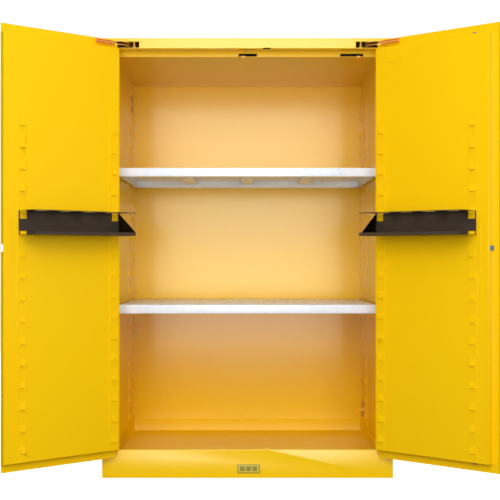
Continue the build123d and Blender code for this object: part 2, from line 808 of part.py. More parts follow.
def make_latch_bolt():
    """Sliding bolt of the latch, bevelled so that it rides over the other door's edge."""
    tip = liner_reach[1] + bolt_reach
    with BuildPart(door_plane(1)) as bolt:
        with BuildSketch(door_plane(1).offset(handle_z - bolt_height / 2)):
            with BuildLine():
                Polyline(
                    (rod_t + rod_radius + rod_travel + 3, -rod_o + bolt_width / 2),
                    (tip - 1.5, -rod_o + bolt_width / 2),
                    (tip - bolt_reach, -rod_o - bolt_width / 2),
                    (rod_t + rod_radius + rod_travel + 3, -rod_o - bolt_width / 2),
                    close=True,
                )
            make_face()
        extrude(amount=bolt_height)
    save(bolt, "latch_bolt")


def make_latch_rod(upper):
    """Round rod from the lock case to a bevelled tip beyond the liner's edge."""
    inner = handle_z + 40 if upper else handle_z - 40
    tip = liner_top + rod_tip if upper else liner_bottom - rod_tip
    way = 1 if upper else -1
    with BuildPart(door_plane(1)) as rod:
        with BuildSketch(door_plane(1).offset(inner)):
            with Locations((rod_t, -rod_o)):
                Circle(rod_radius)
        extrude(amount=tip - inner)
        with BuildSketch(Plane(origin=door_plane(1).from_local_coords(Vector(rod_t - 10, -rod_o, tip)),
                               x_dir=(-cos(lean), -sin(lean), 0),
                               z_dir=(sin(lean), -cos(lean), 0))) as bevel:
            Polygon((rod_radius + 1, way), (rod_radius + 1, -way * 6), (-2, way), align=None)
        extrude(amount=20, mode=Mode.SUBTRACT)
    save(rod, "latch_rod_upper" if upper else "latch_rod_lower")


# ---- header mechanism ----------------------------------------------------------------------
def make_coordinator_bar():
    """Sliding bar above the ceiling whose two tips make the left door close first."""
    y = (header_back + sheet + 0.6, header_back + sheet + 7.0)
    z = (ceiling_z + sheet + 0.6, ceiling_z + 10.5)
    with BuildPart() as bar:
        block((coordinator_tips[0] - 30, coordinator_tips[1] + 30), y, z)
        for x in coordinator_tips:
            with BuildSketch(Plane.XZ.offset(-y[0])):
                with Locations((x, (z[0] + z[1]) / 2)):
                    Circle(4)
            extrude(amount=12)
    save(bar, "coordinator_bar")


def make_arm_posts():
    """Spool posts in the header, one beside each swing arm."""
    with BuildPart() as posts:
        for radius, low, high in ((post_radius, fascia_z + sheet, height - sheet),
                                  (collar_radius, fascia_z + 5, fascia_z + 8),
                                  (collar_radius, fascia_z + 17, fascia_z + 20)):
            with BuildSketch(Plane.XY.offset(low)):
                with Locations(*[(side * post_x, post_y) for side, _ in sides]):
                    Circle(radius)
            extrude(amount=high - low)
    save(posts, "arm_posts")


def make_fusible_link():
    """Two lapped plates and their wires: melting, they let the doors close in a fire."""
    y = front + 20.0
    z = fascia_z + link_height
    with BuildPart() as link:
        block((-24, 6), (y - 5, y + 5), (z, z + 1))
        block((-6, 24), (y - 5, y + 5), (z + 1, z + 2))
        for side, _ in sides:
            with BuildSketch(Plane.YZ.offset(side * 20)):
                with Locations((y, z + 1)):
                    Circle(1.5)
            extrude(amount=side * (post_x - 20))
            with BuildSketch(Plane.YZ.offset(side * post_x)):
                with Locations((y, z + 1)):
                    Circle(1.5)
            block(mirrored(side, post_x - 2, post_x + 2), (post_y + post_radius, y), (z, z + 2))
    save(link, "fusible_link")


def make_closing_springs():
    """Spring barrels that close the doors, anchored in the header."""
    y = front + 42.0
    z = fascia_z + 15.0
    with BuildPart() as springs:
        for side, _ in sides:
            with BuildSketch(Plane.YZ.offset(side * spring_start)):
                with Locations((y, z)):
                    Circle(spring_radius)
                    Circle(spring_radius - 2.5, mode=Mode.SUBTRACT)
            extrude(amount=side * spring_length)
            with BuildSketch(Plane.YZ.offset(side * (spring_start + 10))):
                with Locations((y, z)):
                    Circle(2.5)
            extrude(amount=side * (spring_length + 70))
            anchor = mirrored(side, spring_start - 2, spring_start + 10)
            block(anchor, (y - spring_radius, y + spring_radius), (fascia_z + sheet, z + spring_radius))
            block(mirrored(side, spring_start + 8, spring_start + 12), (y - 7, y + 7), (z - 6, z + 6))
    save(springs, "closing_springs")


# ---- vents, feet, stud, plate and screws ---------------------------------------------------
def vent_ring(side, start, end, outer, inner=0.0):
    """A disc or ring about the vent's axis, between two distances from the middle."""
    with BuildSketch(Plane.YZ.offset(side * start)) as ring:
        with Locations(vent_place(side)):
            Circle(outer)
            if inner:
                Circle(inner, mode=Mode.SUBTRACT)
    return extrude(ring.sketch, amount=side * (end - start), mode=Mode.PRIVATE)


def make_vents():
    bore = vent_radius - 3.5
    with BuildPart() as bodies:
        for side, _ in sides:
            add(vent_ring(side, inside_x - 3, half_width + 3, vent_radius, bore))
            add(vent_ring(side, half_width, half_width + 3, vent_radius + vent_flange, bore))
            add(vent_ring(side, inside_x - 3, inside_x, vent_radius + vent_flange, bore))
    save(bodies, "vent_bodies")
    with BuildPart() as caps:
        for side, _ in sides:
            add(vent_ring(side, half_width + 3, half_width + 9, vent_radius + 4))
            add(vent_ring(side, half_width - 12, half_width + 3, bore - 0.3))
            y, z = vent_place(side)
            block(mirrored(side, half_width + 9, half_width + 13), (y - 9, y + 9), (z - 9, z + 9))
    save(caps, "vent_caps")
    with BuildPart() as arresters:
        for side, _ in sides:
            add(vent_ring(side, inside_x + 2, inside_x + 8, bore))
    save(arresters, "flame_arresters")


def make_ground_stud():
    """Earthing stud with a washer and a nut, low on the right side."""
    y, z = vent_place(1)
    start = half_width - sheet - 4
    with BuildPart() as stud:
        with BuildSketch(Plane.YZ.offset(start)):
            with Locations((y + stud_offset, z)):
                Circle(stud_radius)
        extrude(amount=4 + sheet + 22)
        with BuildSketch(Plane.YZ.offset(start)):
            with Locations((y + stud_offset, z)):
                RegularPolygon(nut_radius, 6)
        extrude(amount=4)
        with BuildSketch(Plane.YZ.offset(half_width)):
            with Locations((y + stud_offset, z)):
                RegularPolygon(nut_radius, 6)
        extrude(amount=5)
    save(stud, "ground_stud")


def make_levelling_feet():
    """Four screw feet in the base corners, wound in until they are level with the skirt."""
    with BuildPart() as feet:
        for radius, low, high in ((foot_radius, 0, 5), (6, 5, 46), (11, 12, 20)):
            with BuildSketch(Plane.XY.offset(low)):
                with Locations(*foot_places()):
                    Circle(radius)
            extrude(amount=high - low)
        for x, y in foot_places():
            block((x - 25, x + 25), (y - 25, y + 25), (20, 23))
            for edge in (x - 25, x + 23):
                block((edge, edge + 2), (y - 25, y + 25), (sheet, 20))
    save(feet, "levelling_feet")


def make_label_plate():
    with BuildPart() as plate:
        with BuildSketch(Plane.XZ.offset(-front)):
            with Locations(plate_middle):
                RectangleRounded(*plate_size, 3)
        extrude(amount=0.8)
    save(plate, "label_plate")


def make_frame_screws():
    """Flat screw heads down both fixed hinge leaves."""
    pitch = (hinge_top - hinge_bottom - 60) / (frame_screw_rows - 1)
    places = [(side * (pin_x + leaf_width - 6), hinge_bottom + 30 + pitch * i)
              for side, _ in sides for i in range(frame_screw_rows)]
    with BuildPart() as screws:
        with BuildSketch(Plane.XZ.offset(-front + leaf)):
            with Locations(*places):
                Circle(screw_radius)
        extrude(amount=screw_head)
    save(screws, "frame_screws")


def main():
    os.makedirs("parts", exist_ok=True)
    for side, name in sides:
        make_side_skin(side, name)
        make_stile(side, name)
        make_side_liner(side, name)
        make_wall_standards(side, name)
        make_frame_leaf(side, name)
        make_door_leaf(side, name)
        make_door_skin(side, name)
        make_door_liner(side, name)
        make_door_stiffener(side, name)
        make_tray_rails(side, name)
        make_tray(side, name)
        make_tray_grid(side, name)
        make_swing_arm(side, name)
    make_back_skin()
    make_top_skin()
    make_bottom_skin()
    make_front_sill()
    make_header_fascia()
    make_back_liner()
    make_top_liner()
    make_sump_pan()
    make_frame_channels()
    make_shelf(upper_shelf, "shelf_upper")
    make_shelf(lower_shelf, "shelf_lower")
    make_shelf_brackets()
    make_hinge_pins()
    make_lock_cover()
    make_rod_cover()
    make_cover_screws()
    make_handle_bezel()
    make_paddle()
    make_key_plug()
    make_latch_bolt()
    make_latch_rod(True)
    make_latch_rod(False)
    make_coordinator_bar()
    make_arm_posts()
    make_fusible_link()
    make_closing_springs()
    make_vents()
    make_ground_stud()
    make_levelling_feet()
    make_label_plate()
    make_frame_screws()


main()
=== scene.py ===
# %% [markdown]
# # Flammable storage cabinet: looks
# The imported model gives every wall, hinge and latch its true size and place. This notebook loads it
# as a fixed frame, softens its folded sheet metal, models the small pressed and turned pieces again
# in finer mesh, and gives every surface its finish. Lengths are metres; the front faces -Y.

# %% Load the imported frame
import json
import math

import bmesh
import bpy
from mathutils import Matrix, Vector


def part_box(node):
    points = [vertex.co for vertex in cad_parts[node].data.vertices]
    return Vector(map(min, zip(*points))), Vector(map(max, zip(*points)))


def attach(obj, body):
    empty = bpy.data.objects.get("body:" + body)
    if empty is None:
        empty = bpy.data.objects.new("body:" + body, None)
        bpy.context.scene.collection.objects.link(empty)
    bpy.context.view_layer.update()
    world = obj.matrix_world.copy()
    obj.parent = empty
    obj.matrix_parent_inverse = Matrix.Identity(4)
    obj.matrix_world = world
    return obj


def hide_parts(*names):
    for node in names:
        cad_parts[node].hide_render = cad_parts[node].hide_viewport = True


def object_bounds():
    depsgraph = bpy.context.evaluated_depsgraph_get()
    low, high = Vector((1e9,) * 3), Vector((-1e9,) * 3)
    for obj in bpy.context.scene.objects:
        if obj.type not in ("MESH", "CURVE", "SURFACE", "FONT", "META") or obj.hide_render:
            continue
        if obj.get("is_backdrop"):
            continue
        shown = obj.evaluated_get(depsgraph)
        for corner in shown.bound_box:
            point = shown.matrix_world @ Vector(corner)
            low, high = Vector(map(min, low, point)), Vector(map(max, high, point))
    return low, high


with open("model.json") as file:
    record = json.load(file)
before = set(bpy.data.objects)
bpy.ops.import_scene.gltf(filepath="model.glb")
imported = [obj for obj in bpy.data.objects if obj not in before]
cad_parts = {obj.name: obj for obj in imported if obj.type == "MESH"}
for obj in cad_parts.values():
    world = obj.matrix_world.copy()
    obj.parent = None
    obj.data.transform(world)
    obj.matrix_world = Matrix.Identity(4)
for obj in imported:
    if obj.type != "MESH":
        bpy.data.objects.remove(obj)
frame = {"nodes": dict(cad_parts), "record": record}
cad_low, cad_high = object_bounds()
slot_of_node = {part["node"]: part["material_slot"] for part in frame["record"]["subparts"]}
MM = 0.001

# %% [markdown]
# ## Camera and light
# The cabinet is seen square on from a little over four metres, with the lens at half its height.
# A tall soft box stands behind the camera. Its mirror image in the enamel is what lightens the
# middle of the back wall, so the box is a real area lamp and not a painted highlight. The room's
# light comes from the world, which mirrors less brightly than it lights, as a dim studio would.

# %% Camera
front_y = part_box("header_fascia")[0].y
CAMERA_DISTANCE = 4.339
CAMERA_HEIGHT = 0.820
camera_data = bpy.data.cameras.new("camera")
camera_data.sensor_width = 36.0
camera_data.lens = 83.23
camera_data.shift_x = 0.005
camera_data.shift_y = 0.019
camera = bpy.data.objects.new("camera", camera_data)
camera.location = (0.0, front_y - CAMERA_DISTANCE, CAMERA_HEIGHT)
camera.rotation_euler = (math.radians(90), 0, 0)
bpy.context.scene.collection.objects.link(camera)
bpy.context.scene.camera = camera
print("camera at", [round(v, 3) for v in camera.location])


# %% Soft boxes
def soft_box(name, place, target, width, height, power, mirrored=False, lights=True):
    """A rectangular area lamp at a place, turned towards a target point."""
    data = bpy.data.lights.new(name, "AREA")
    data.shape = "RECTANGLE"
    data.size = width
    data.size_y = height
    data.energy = power
    lamp = bpy.data.objects.new(name, data)
    lamp.location = place
    lamp.rotation_euler = (Vector(target) - Vector(place)).to_track_quat("-Z", "Y").to_euler()
    lamp.visible_glossy = mirrored
    lamp.visible_diffuse = lights
    bpy.context.scene.collection.objects.link(lamp)
    return lamp


behind_camera = camera.location.y - 0.05
soft_box("mirrored_box", (0, behind_camera, 1.5), (0, front_y, 1.5), 1.72, 3.0, 110,
         mirrored=True, lights=False)
soft_box("high_front_box", (0, behind_camera, 2.3), (0, front_y, 0.6), 2.6, 2.4, 68)
soft_box("low_front_box", (0, behind_camera, 0.9), (0, front_y, 0.6), 2.8, 1.6, 64)
soft_box("fill_box", (0, front_y - 3.4, 2.5), (0, front_y, 0.7), 3.2, 1.4, 30)
soft_box("top_box", (0, front_y - 1.1, 3.4), (0, front_y - 1.0, 0), 6.0, 5.0, 55)
soft_box("side_box", (3.4, front_y - 1.6, 1.5), (-0.5, front_y, 0.8), 1.6, 2.4, 9)
soft_box("back_box", (0, 5.0, 2.2), (0, 0, 0.7), 7.0, 3.0, 210, mirrored=True)

# %% Room light
world = bpy.data.worlds.new("room")
bpy.context.scene.world = world
world.use_nodes = True
tree = world.node_tree
tree.nodes.clear()
paths = tree.nodes.new("ShaderNodeLightPath")
lit = tree.nodes.new("ShaderNodeBackground")
lit.inputs["Strength"].default_value = 0.20
seen = tree.nodes.new("ShaderNodeBackground")
seen.inputs["Strength"].default_value = 1.05
mirrored_room = tree.nodes.new("ShaderNodeBackground")
mirrored_room.inputs["Strength"].default_value = 0.02
choose_mirror = tree.nodes.new("ShaderNodeMixShader")
choose_seen = tree.nodes.new("ShaderNodeMixShader")
out = tree.nodes.new("ShaderNodeOutputWorld")
for background in (lit, seen, mirrored_room):
    background.inputs["Color"].default_value = (1.0, 0.995, 0.985, 1.0)
tree.links.new(paths.outputs["Is Glossy Ray"], choose_mirror.inputs[0])
tree.links.new(lit.outputs[0], choose_mirror.inputs[1])
tree.links.new(mirrored_room.outputs[0], choose_mirror.inputs[2])
tree.links.new(paths.outputs["Is Camera Ray"], choose_seen.inputs[0])
tree.links.new(choose_mirror.outputs[0], choose_seen.inputs[1])
tree.links.new(seen.outputs[0], choose_seen.inputs[2])
tree.links.new(choose_seen.outputs[0], out.inputs["Surface"])
bpy.context.scene.view_settings.view_transform = "Standard"


# %% [markdown]
# ## Writing shaders as sums
# A finish is easier to read as arithmetic than as a web of nodes. `Wire` holds one socket, and its
# operators add Math nodes. `Finish` holds one material: numbers that are the same all over go on
# the shader's own sockets, and `feed` links only what changes over the surface.

# %% Wires and finishes
class Wire:
    """One output socket of a shader tree, with arithmetic."""

    def __init__(self, tree, socket):
        self.tree = tree
        self.socket = socket

    def math(self, operation, first, second=None):
        node = self.tree.nodes.new("ShaderNodeMath")
        node.operation = operation
        for slot, value in enumerate((first, second)):
            if isinstance(value, Wire):
                self.tree.links.new(value.socket, node.inputs[slot])
            elif value is not None:
                node.inputs[slot].default_value = value
        return Wire(self.tree, node.outputs[0])

    def __add__(self, other):
        return self.math("ADD", self, other)

    def __radd__(self, other):
        return self.math("ADD", other, self)

    def __sub__(self, other):
        return self.math("SUBTRACT", self, other)

    def __rsub__(self, other):
        return self.math("SUBTRACT", other, self)

    def __mul__(self, other):
        return self.math("MULTIPLY", self, other)

    def __rmul__(self, other):
        return self.math("MULTIPLY", other, self)

    def __truediv__(self, other):
        return self.math("DIVIDE", self, other)

    def __pow__(self, other):
        return self.math("POWER", self, other)

    def clamp(self):
        return self.math("MINIMUM", self.math("MAXIMUM", self, 0.0), 1.0)

    def above(self, edge, softness):
        """0 below the edge, 1 above it, over a soft step."""
        return ((self - edge) / softness + 0.5).clamp()


class Finish:
    """A material under construction, with its Principled shader."""

    def __init__(self, name, **constants):
        self.material = bpy.data.materials.new(name)
        self.material.use_nodes = True
        self.tree = self.material.node_tree
        self.shader = self.tree.nodes["Principled BSDF"]
        for socket, value in constants.items():
            self.shader.inputs[socket.replace("_", " ")].default_value = value
        self.place = self.node("ShaderNodeTexCoord", out="Object")

    def node(self, kind, settings=None, out=0, **values):
        """Adds any node: its settings first, then the values or wires of its sockets."""
        made = self.tree.nodes.new(kind)
        for key, value in (settings or {}).items():
            setattr(made, key, value)
        for name, value in values.items():
            socket = made.inputs[name.replace("_", " ")]
            if isinstance(value, Wire):
                self.tree.links.new(value.socket, socket)
            else:
                socket.default_value = value
        return Wire(self.tree, made.outputs[out])

    def noise(self, scale, detail=2.0, roughness=0.5, stretch=(1, 1, 1)):
        vector = self.node("ShaderNodeMapping", Vector=self.place, Scale=stretch)
        return self.node("ShaderNodeTexNoise", Vector=vector, Scale=scale, Detail=detail,
                         Roughness=roughness, out="Fac")

    def cells(self, scale, out="Distance", stretch=(1, 1, 1), feature="F1"):
        vector = self.node("ShaderNodeMapping", Vector=self.place, Scale=stretch)
        return self.node("ShaderNodeTexVoronoi", {"feature": feature}, out=out,
                         Vector=vector, Scale=scale)

    def mix(self, factor, first, second):
        """A colour between two colours."""
        made = self.tree.nodes.new("ShaderNodeMix")
        made.data_type = "RGBA"
        for socket, value in ((made.inputs[0], factor), (made.inputs[6], first),
                              (made.inputs[7], second)):
            if isinstance(value, Wire):
                self.tree.links.new(value.socket, socket)
            else:
                socket.default_value = value
        return Wire(self.tree, made.outputs[2])

    def ramp(self, value, *stops):
        """A colour ramp: stops are (position, colour)."""
        made = self.tree.nodes.new("ShaderNodeValToRGB")
        elements = made.color_ramp.elements
        while len(elements) < len(stops):
            elements.new(0.5)
        for element, (position, colour) in zip(elements, stops):
            element.position = position
            element.color = colour
        self.tree.links.new(value.socket, made.inputs[0])
        return Wire(self.tree, made.outputs[0])

    def height(self):
        """The height of a point above the floor."""
        return self.node("ShaderNodeSeparateXYZ", out="Z", Vector=self.place)

    def feed(self, **wires):
        for socket, wire in wires.items():
            self.tree.links.new(wire.socket, self.shader.inputs[socket.replace("_", " ")])

    def bump(self, *layers):
        """Stacks height fields: each layer is (wire, depth in metres, strength)."""
        normal = None
        for wire, depth, strength in layers:
            values = {"Height": wire, "Distance": depth, "Strength": strength}
            if normal is not None:
                values["Normal"] = normal
            normal = self.node("ShaderNodeBump", out="Normal", **values)
        self.feed(Normal=normal)


def rgb(red, green, blue):
    """A display colour, 0 to 255, as the linear colour that a shader wants."""
    def linear(level):
        level /= 255
        return level / 12.92 if level <= 0.04045 else ((level + 0.055) / 1.055) ** 2.4
    return (linear(red), linear(green), linear(blue), 1.0)


print("shader helpers ready")


# %% [markdown]
# ## Finishes
# Safety enamel is baked gloss over sheet steel: its colour barely changes, but its surface has a
# fine orange peel, and the sheet under it is never quite flat. Both are height fields. Zinc has
# large crystals, yellow-passivated zinc drifts between gold and rose, and powder coat is pebbled.

# %% Yellow enamel
def yellow_enamel(name, light, deep, roughness=0.17, sheen_level=0.4):
    finish = Finish(name, Specular_IOR_Level=sheen_level)
    cloud = finish.noise(2.3, detail=3.0)
    speck = finish.noise(160.0, detail=2.0)
    finish.feed(Base_Color=finish.mix((cloud * 0.8 + speck * 0.2).above(0.5, 0.7), deep, light))
    finish.feed(Roughness=(cloud * 0.05 + speck * 0.03 + (roughness - 0.04)))
    finish.bump((finish.noise(1.6, detail=1.0), 0.0012, 0.25), (finish.noise(420.0), 0.00003, 0.25))
    return finish.material


enamel = yellow_enamel("yellow_enamel", rgb(250, 202, 8), rgb(249, 198, 5))
inner_enamel = yellow_enamel("inner_enamel", rgb(250, 202, 8), rgb(249, 198, 5), 0.26, 0.12)
print("made", enamel.name, inner_enamel.name)


# %% Zinc, gold zinc, chrome and brass
def plated(name, light, dark, roughness, scale, metallic=1.0):
    finish = Finish(name, Metallic=metallic)
    crystal = finish.node("ShaderNodeSeparateColor", out="Red", Color=finish.cells(scale, out="Color"))
    drift = finish.noise(scale * 0.3, detail=3.0)
    finish.feed(Base_Color=finish.mix((crystal * 0.6 + drift * 0.4).clamp(), dark, light))
    finish.feed(Roughness=crystal * 0.08 + drift * 0.08 + (roughness - 0.08))
    finish.bump((finish.noise(900.0), 0.00002, 0.25))
    return finish.material


def gold_zinc(name, shade):
    """Yellow-passivated zinc; shade below 1 darkens its green and blue, which is used as painted shade.
    """
    finish = Finish(name, Metallic=0.3)
    drift = finish.noise(45.0, detail=2.0)
    stops = ((0.30, (232, 172, 62)), (0.46, (250, 200, 92)), (0.58, (244, 170, 84)),
             (0.72, (228, 180, 92)))
    tint = finish.ramp(drift, *((at, rgb(red, green * shade, blue * shade))
                                for at, (red, green, blue) in stops))
    finish.feed(Base_Color=tint, Roughness=finish.noise(300.0) * 0.12 + 0.24)
    finish.bump((finish.noise(1200.0), 0.00002, 0.2))
    return finish.material


def shelf_zinc(name, light, dark, sheen_level):
    finish = Finish(name, Metallic=0.0, Specular_IOR_Level=sheen_level)
    crystal = finish.node("ShaderNodeSeparateColor", out="Red", Color=finish.cells(90.0, out="Color"))
    drift = finish.noise(6.0, detail=3.0)
    finish.feed(Base_Color=finish.mix((crystal * 0.5 + drift * 0.5).clamp(), dark, light))
    finish.feed(Roughness=crystal * 0.16 + 0.26)
    finish.bump((crystal, 0.00003, 0.3), (finish.noise(700.0), 0.00002, 0.2))
    return finish.material


zinc = plated("zinc", rgb(206, 208, 211), rgb(168, 171, 176), 0.30, 140.0, metallic=0.6)
chrome = plated("chrome", rgb(226, 228, 232), rgb(206, 209, 214), 0.14, 60.0, metallic=0.75)
brass = plated("brass", rgb(214, 176, 98), rgb(176, 138, 66), 0.30, 220.0, metallic=0.55)
bare_steel = plated("bare_steel", rgb(150, 152, 156), rgb(118, 120, 124), 0.42, 70.0)
gold = gold_zinc("gold_zinc", 1.0)
# The darker gold is painted shade: it goes on the arm bracket's plate round its raised rib.
painted_shade_gold = gold_zinc("painted_shade_gold_zinc", 0.62)
shelf_finish = shelf_zinc("shelf_zinc", rgb(240, 245, 252), rgb(226, 233, 243), 0.6)
# The shelves' undersides take a paler, bluer zinc than their tops: painted light, standing in for light
# that does not reach under the shelves.
painted_light_shelf_underside = shelf_zinc("painted_light_shelf_underside", rgb(250, 253, 255), rgb(240, 250, 255), 0.1)
print("made", [m.name for m in (zinc, chrome, brass, bare_steel, gold, shelf_finish)])


# %% Black powder coat, black moulding and the blank plate
def pebbled(name, light, dark, roughness, grain, depth, sheen_level=0.5):
    finish = Finish(name, Specular_IOR_Level=sheen_level)
    pebble = finish.noise(grain, detail=2.0)
    wide = finish.noise(9.0, detail=2.0)
    finish.feed(Base_Color=finish.mix((pebble * 0.6 + wide * 0.4).above(0.5, 0.5), dark, light))
    finish.feed(Roughness=pebble * 0.14 + (roughness - 0.07))
    finish.bump((pebble, depth, 0.5))
    return finish.material


black_coat = pebbled("black_powder_coat", rgb(72, 61, 52), rgb(60, 50, 43), 0.42, 520.0, 0.00008)
black_moulding = pebbled("black_moulding", rgb(40, 40, 42), rgb(30, 30, 32), 0.5, 900.0, 0.00006)
# The coordinator bar's near-black, almost unreflecting finish is painted shade, so the header's slots
# look dark.
painted_shade_bar = pebbled("painted_shade_bar", rgb(20, 18, 16), rgb(12, 11, 10), 0.6, 900.0, 0.00004, sheen_level=0.05)
plate_paint = pebbled("plate_paint", rgb(176, 150, 50), rgb(164, 140, 44), 0.4, 600.0, 0.00002)
plate_field = pebbled("plate_field", rgb(208, 190, 34), rgb(200, 182, 30), 0.4, 600.0, 0.00002)
plate_panel = pebbled("plate_panel", rgb(150, 132, 46), rgb(142, 124, 42), 0.4, 600.0, 0.00002)
finish_of_slot = {
    "yellow_enamel": enamel,
    "gold_zinc": gold,
    "black_paint": black_coat,
    "galvanised": shelf_finish,
    "zinc": zinc,
    "chrome": chrome,
    "black_plastic": black_moulding,
    "brass": brass,
    "plate_paint": plate_paint,
    "bare_steel": bare_steel,
}
print("made", black_coat.name, black_moulding.name, plate_paint.name, plate_field.name)


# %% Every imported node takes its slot's finish
for node, packed in frame["nodes"].items():
    packed.data.materials.clear()
    packed.data.materials.append(finish_of_slot[slot_of_node[node]])
body_of_node = {node: body for body, nodes in frame["record"]["behaviour"]["bodies"].items()
                for node in nodes}
print("painted", len(frame["nodes"]), "nodes")


# %% [markdown]
# ## Pieces from bmesh
# A piece is finished in one place: its mesh is linked, its normals point outwards, its creases stay
# sharp, it is told which body it rides on, and the imported nodes it stands for are hidden.

# %% Making and finishing a piece
def settle(mesh_data, name, body, finish, replaces=(), slot=None, crease=35.0):
    """Turns a bmesh into a piece that rides on a body."""
    mesh = bpy.data.meshes.new(name)
    bmesh.ops.recalc_face_normals(mesh_data, faces=mesh_data.faces)
    mesh_data.to_mesh(mesh)
    mesh_data.free()
    mesh.shade_smooth()
    mesh.set_sharp_from_angle(angle=math.radians(crease))
    for material in (finish if isinstance(finish, (list, tuple)) else [finish]):
        mesh.materials.append(material)
    piece = bpy.data.objects.new(name, mesh)
    bpy.context.scene.collection.objects.link(piece)
    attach(piece, body)
    if replaces:
        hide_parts(*replaces)
    return piece


def merged_copy(node):
    """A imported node's mesh as a bmesh, its loose triangles merged and its flats made whole."""
    copy = bmesh.new()
    copy.from_mesh(frame["nodes"][node].data)
    bmesh.ops.remove_doubles(copy, verts=copy.verts, dist=0.00002)
    bmesh.ops.dissolve_limit(copy, angle_limit=math.radians(0.4), use_dissolve_boundaries=False,
                             verts=copy.verts, edges=copy.edges, delimit=set())
    return copy


def face_breadth(face):
    """How narrow a face is: its area over its longest edge."""
    return face.calc_area() / max(edge.calc_length() for edge in face.edges)


def is_square(edge):
    """True where two flat faces meet at about a right angle."""
    return len(edge.link_faces) == 2 and abs(edge.calc_face_angle(0) - math.pi / 2) < 0.2


def fold(sheet, outside, cut_edge=0.00025, narrow=0.0022):
    """Gives a folded sheet its bends: outside corners are rolled, and inside corners too on the larger
    bends; cut edges are not eased, as the cut_edge argument is not used.
    """
    def bends(convex):
        return [e for e in sheet.edges
                if is_square(e) and e.is_convex == convex
                and min(face_breadth(f) for f in e.link_faces) > narrow]

    if outside > 0.0014:
        bmesh.ops.bevel(sheet, geom=bends(False), offset=outside - 0.0012, offset_type="OFFSET",
                        affect="EDGES", segments=2, profile=0.5, material=-1, clamp_overlap=True)
    bmesh.ops.bevel(sheet, geom=bends(True), offset=outside, offset_type="OFFSET",
                    affect="EDGES", segments=3, profile=0.5, material=-1, clamp_overlap=True)
    return sheet


def rounded(solid, radius, narrow=0.0):
    """Eases every sharp convex edge of a solid piece."""
    edges = [e for e in solid.edges if len(e.link_faces) == 2 and e.is_convex
             and e.calc_face_angle(0) > 0.6 and min(face_breadth(f) for f in e.link_faces) > narrow]
    bmesh.ops.bevel(solid, geom=edges, offset=radius, offset_type="OFFSET", affect="EDGES",
                    segments=2, profile=0.5, material=-1, clamp_overlap=True)
    return solid


def stand_in(node, mesh_data, suffix, **options):
    """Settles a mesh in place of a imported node, with the node's body and finish."""
    slot = slot_of_node[node]
    return settle(mesh_data, node + "_" + suffix, body_of_node[node], finish_of_slot[slot],
                  replaces=[node], slot=slot, **options)


BENDS = {
    0.0026: ("side_skin_left", "side_skin_right", "back_skin", "top_skin", "bottom_skin",
             "liner_left", "liner_right", "liner_back", "liner_top", "sump_pan"),
    0.0020: ("front_sill", "header_fascia", "stile_left", "stile_right", "shelf_upper",
             "shelf_lower", "frame_channels", "shelf_brackets"),
    0.0012: ("tray_left", "tray_right", "tray_grid_left", "tray_grid_right",
             "door_stiffener_left", "door_stiffener_right"),
    0.0004: ("lock_cover", "rod_cover"),
    0.0: ("door_skin_left", "door_skin_right", "door_liner_left", "door_liner_right"),
}
for bend, nodes in BENDS.items():
    for node in nodes:
        sheet = merged_copy(node)
        if bend:
            fold(sheet, bend)
        piece = stand_in(node, sheet, "sheet")
        if node in ("liner_left", "liner_right", "liner_top", "sump_pan"):
            piece.data.materials[0] = inner_enamel
        if node in ("shelf_upper", "shelf_lower"):
            # Faces turned downwards take the paler underside zinc, as painted light.
            piece.data.materials.append(painted_light_shelf_underside)
            for face in piece.data.polygons:
                face.material_index = int(face.normal.z < -0.9)
        print(node, len(piece.data.polygons), "faces")

# %% Turned and pressed parts
EASED = {
    0.0008: ("paddle", "latch_bolt", "vent_caps"),
    0.0005: ("key_plug", "handle_bezel", "vent_bodies", "ground_stud", "latch_rod_upper",
             "latch_rod_lower", "levelling_feet", "cover_screws", "frame_screws"),
    0.0: ("hinge_leaf_frame_left", "hinge_leaf_frame_right", "hinge_leaf_door_left",
          "hinge_leaf_door_right", "hinge_pins", "flame_arresters", "fusible_link",
          "closing_springs"),
}
for ease, nodes in EASED.items():
    for node in nodes:
        solid = merged_copy(node)
        if ease:
            rounded(solid, ease, narrow=0.0009)
        piece = stand_in(node, solid, "part")
        print(node, len(piece.data.polygons), "faces")

# %% [markdown]
# ## Slotted standards
# The strips on the doors and the side walls are one folded sheet with a ladder of lanced tabs. The
# packed strip keeps its slots; each tab is pressed again here as a closed hood, flush at its top
# and open underneath, so that its lower edge throws the short dark line seen on every rung.

# %% Spaces of the doors and walls
class Space:
    """Axes of an upright sheet: X along it, Y out of its face, Z up."""

    def __init__(self, origin, along, outward):
        self.matrix = Matrix.Translation(origin) @ Matrix((
            (along[0], outward[0], 0, 0), (along[1], outward[1], 0, 0), (0, 0, 1, 0), (0, 0, 0, 1)))

    def points(self, node):
        inverse = self.matrix.inverted()
        return [inverse @ vertex.co for vertex in frame["nodes"][node].data.vertices]

    def box(self, node):
        """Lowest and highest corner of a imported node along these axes."""
        points = self.points(node)
        return (Vector(min(p[i] for p in points) for i in range(3)),
                Vector(max(p[i] for p in points) for i in range(3)))


stated_joints = {joint["name"]: joint for joint in frame["record"]["behaviour"]["joints"]}
spaces = {}
for side, name in ((-1, "left"), (1, "right")):
    hinge = stated_joints[name + "_door_hinge"]
    lean = math.radians(hinge["range_deg"][1] - 90)
    pin = Vector((hinge["pos_m"][0], hinge["pos_m"][1], 0))
    spaces["tray_rails_" + name] = Space(
        pin, (side * math.sin(lean), -math.cos(lean)), (-side * math.cos(lean), -math.sin(lean)))
    spaces["standards_" + name] = Space(Vector((0, 0, 0)), (0, 1), (-side, 0))
print("spaces:", list(spaces))


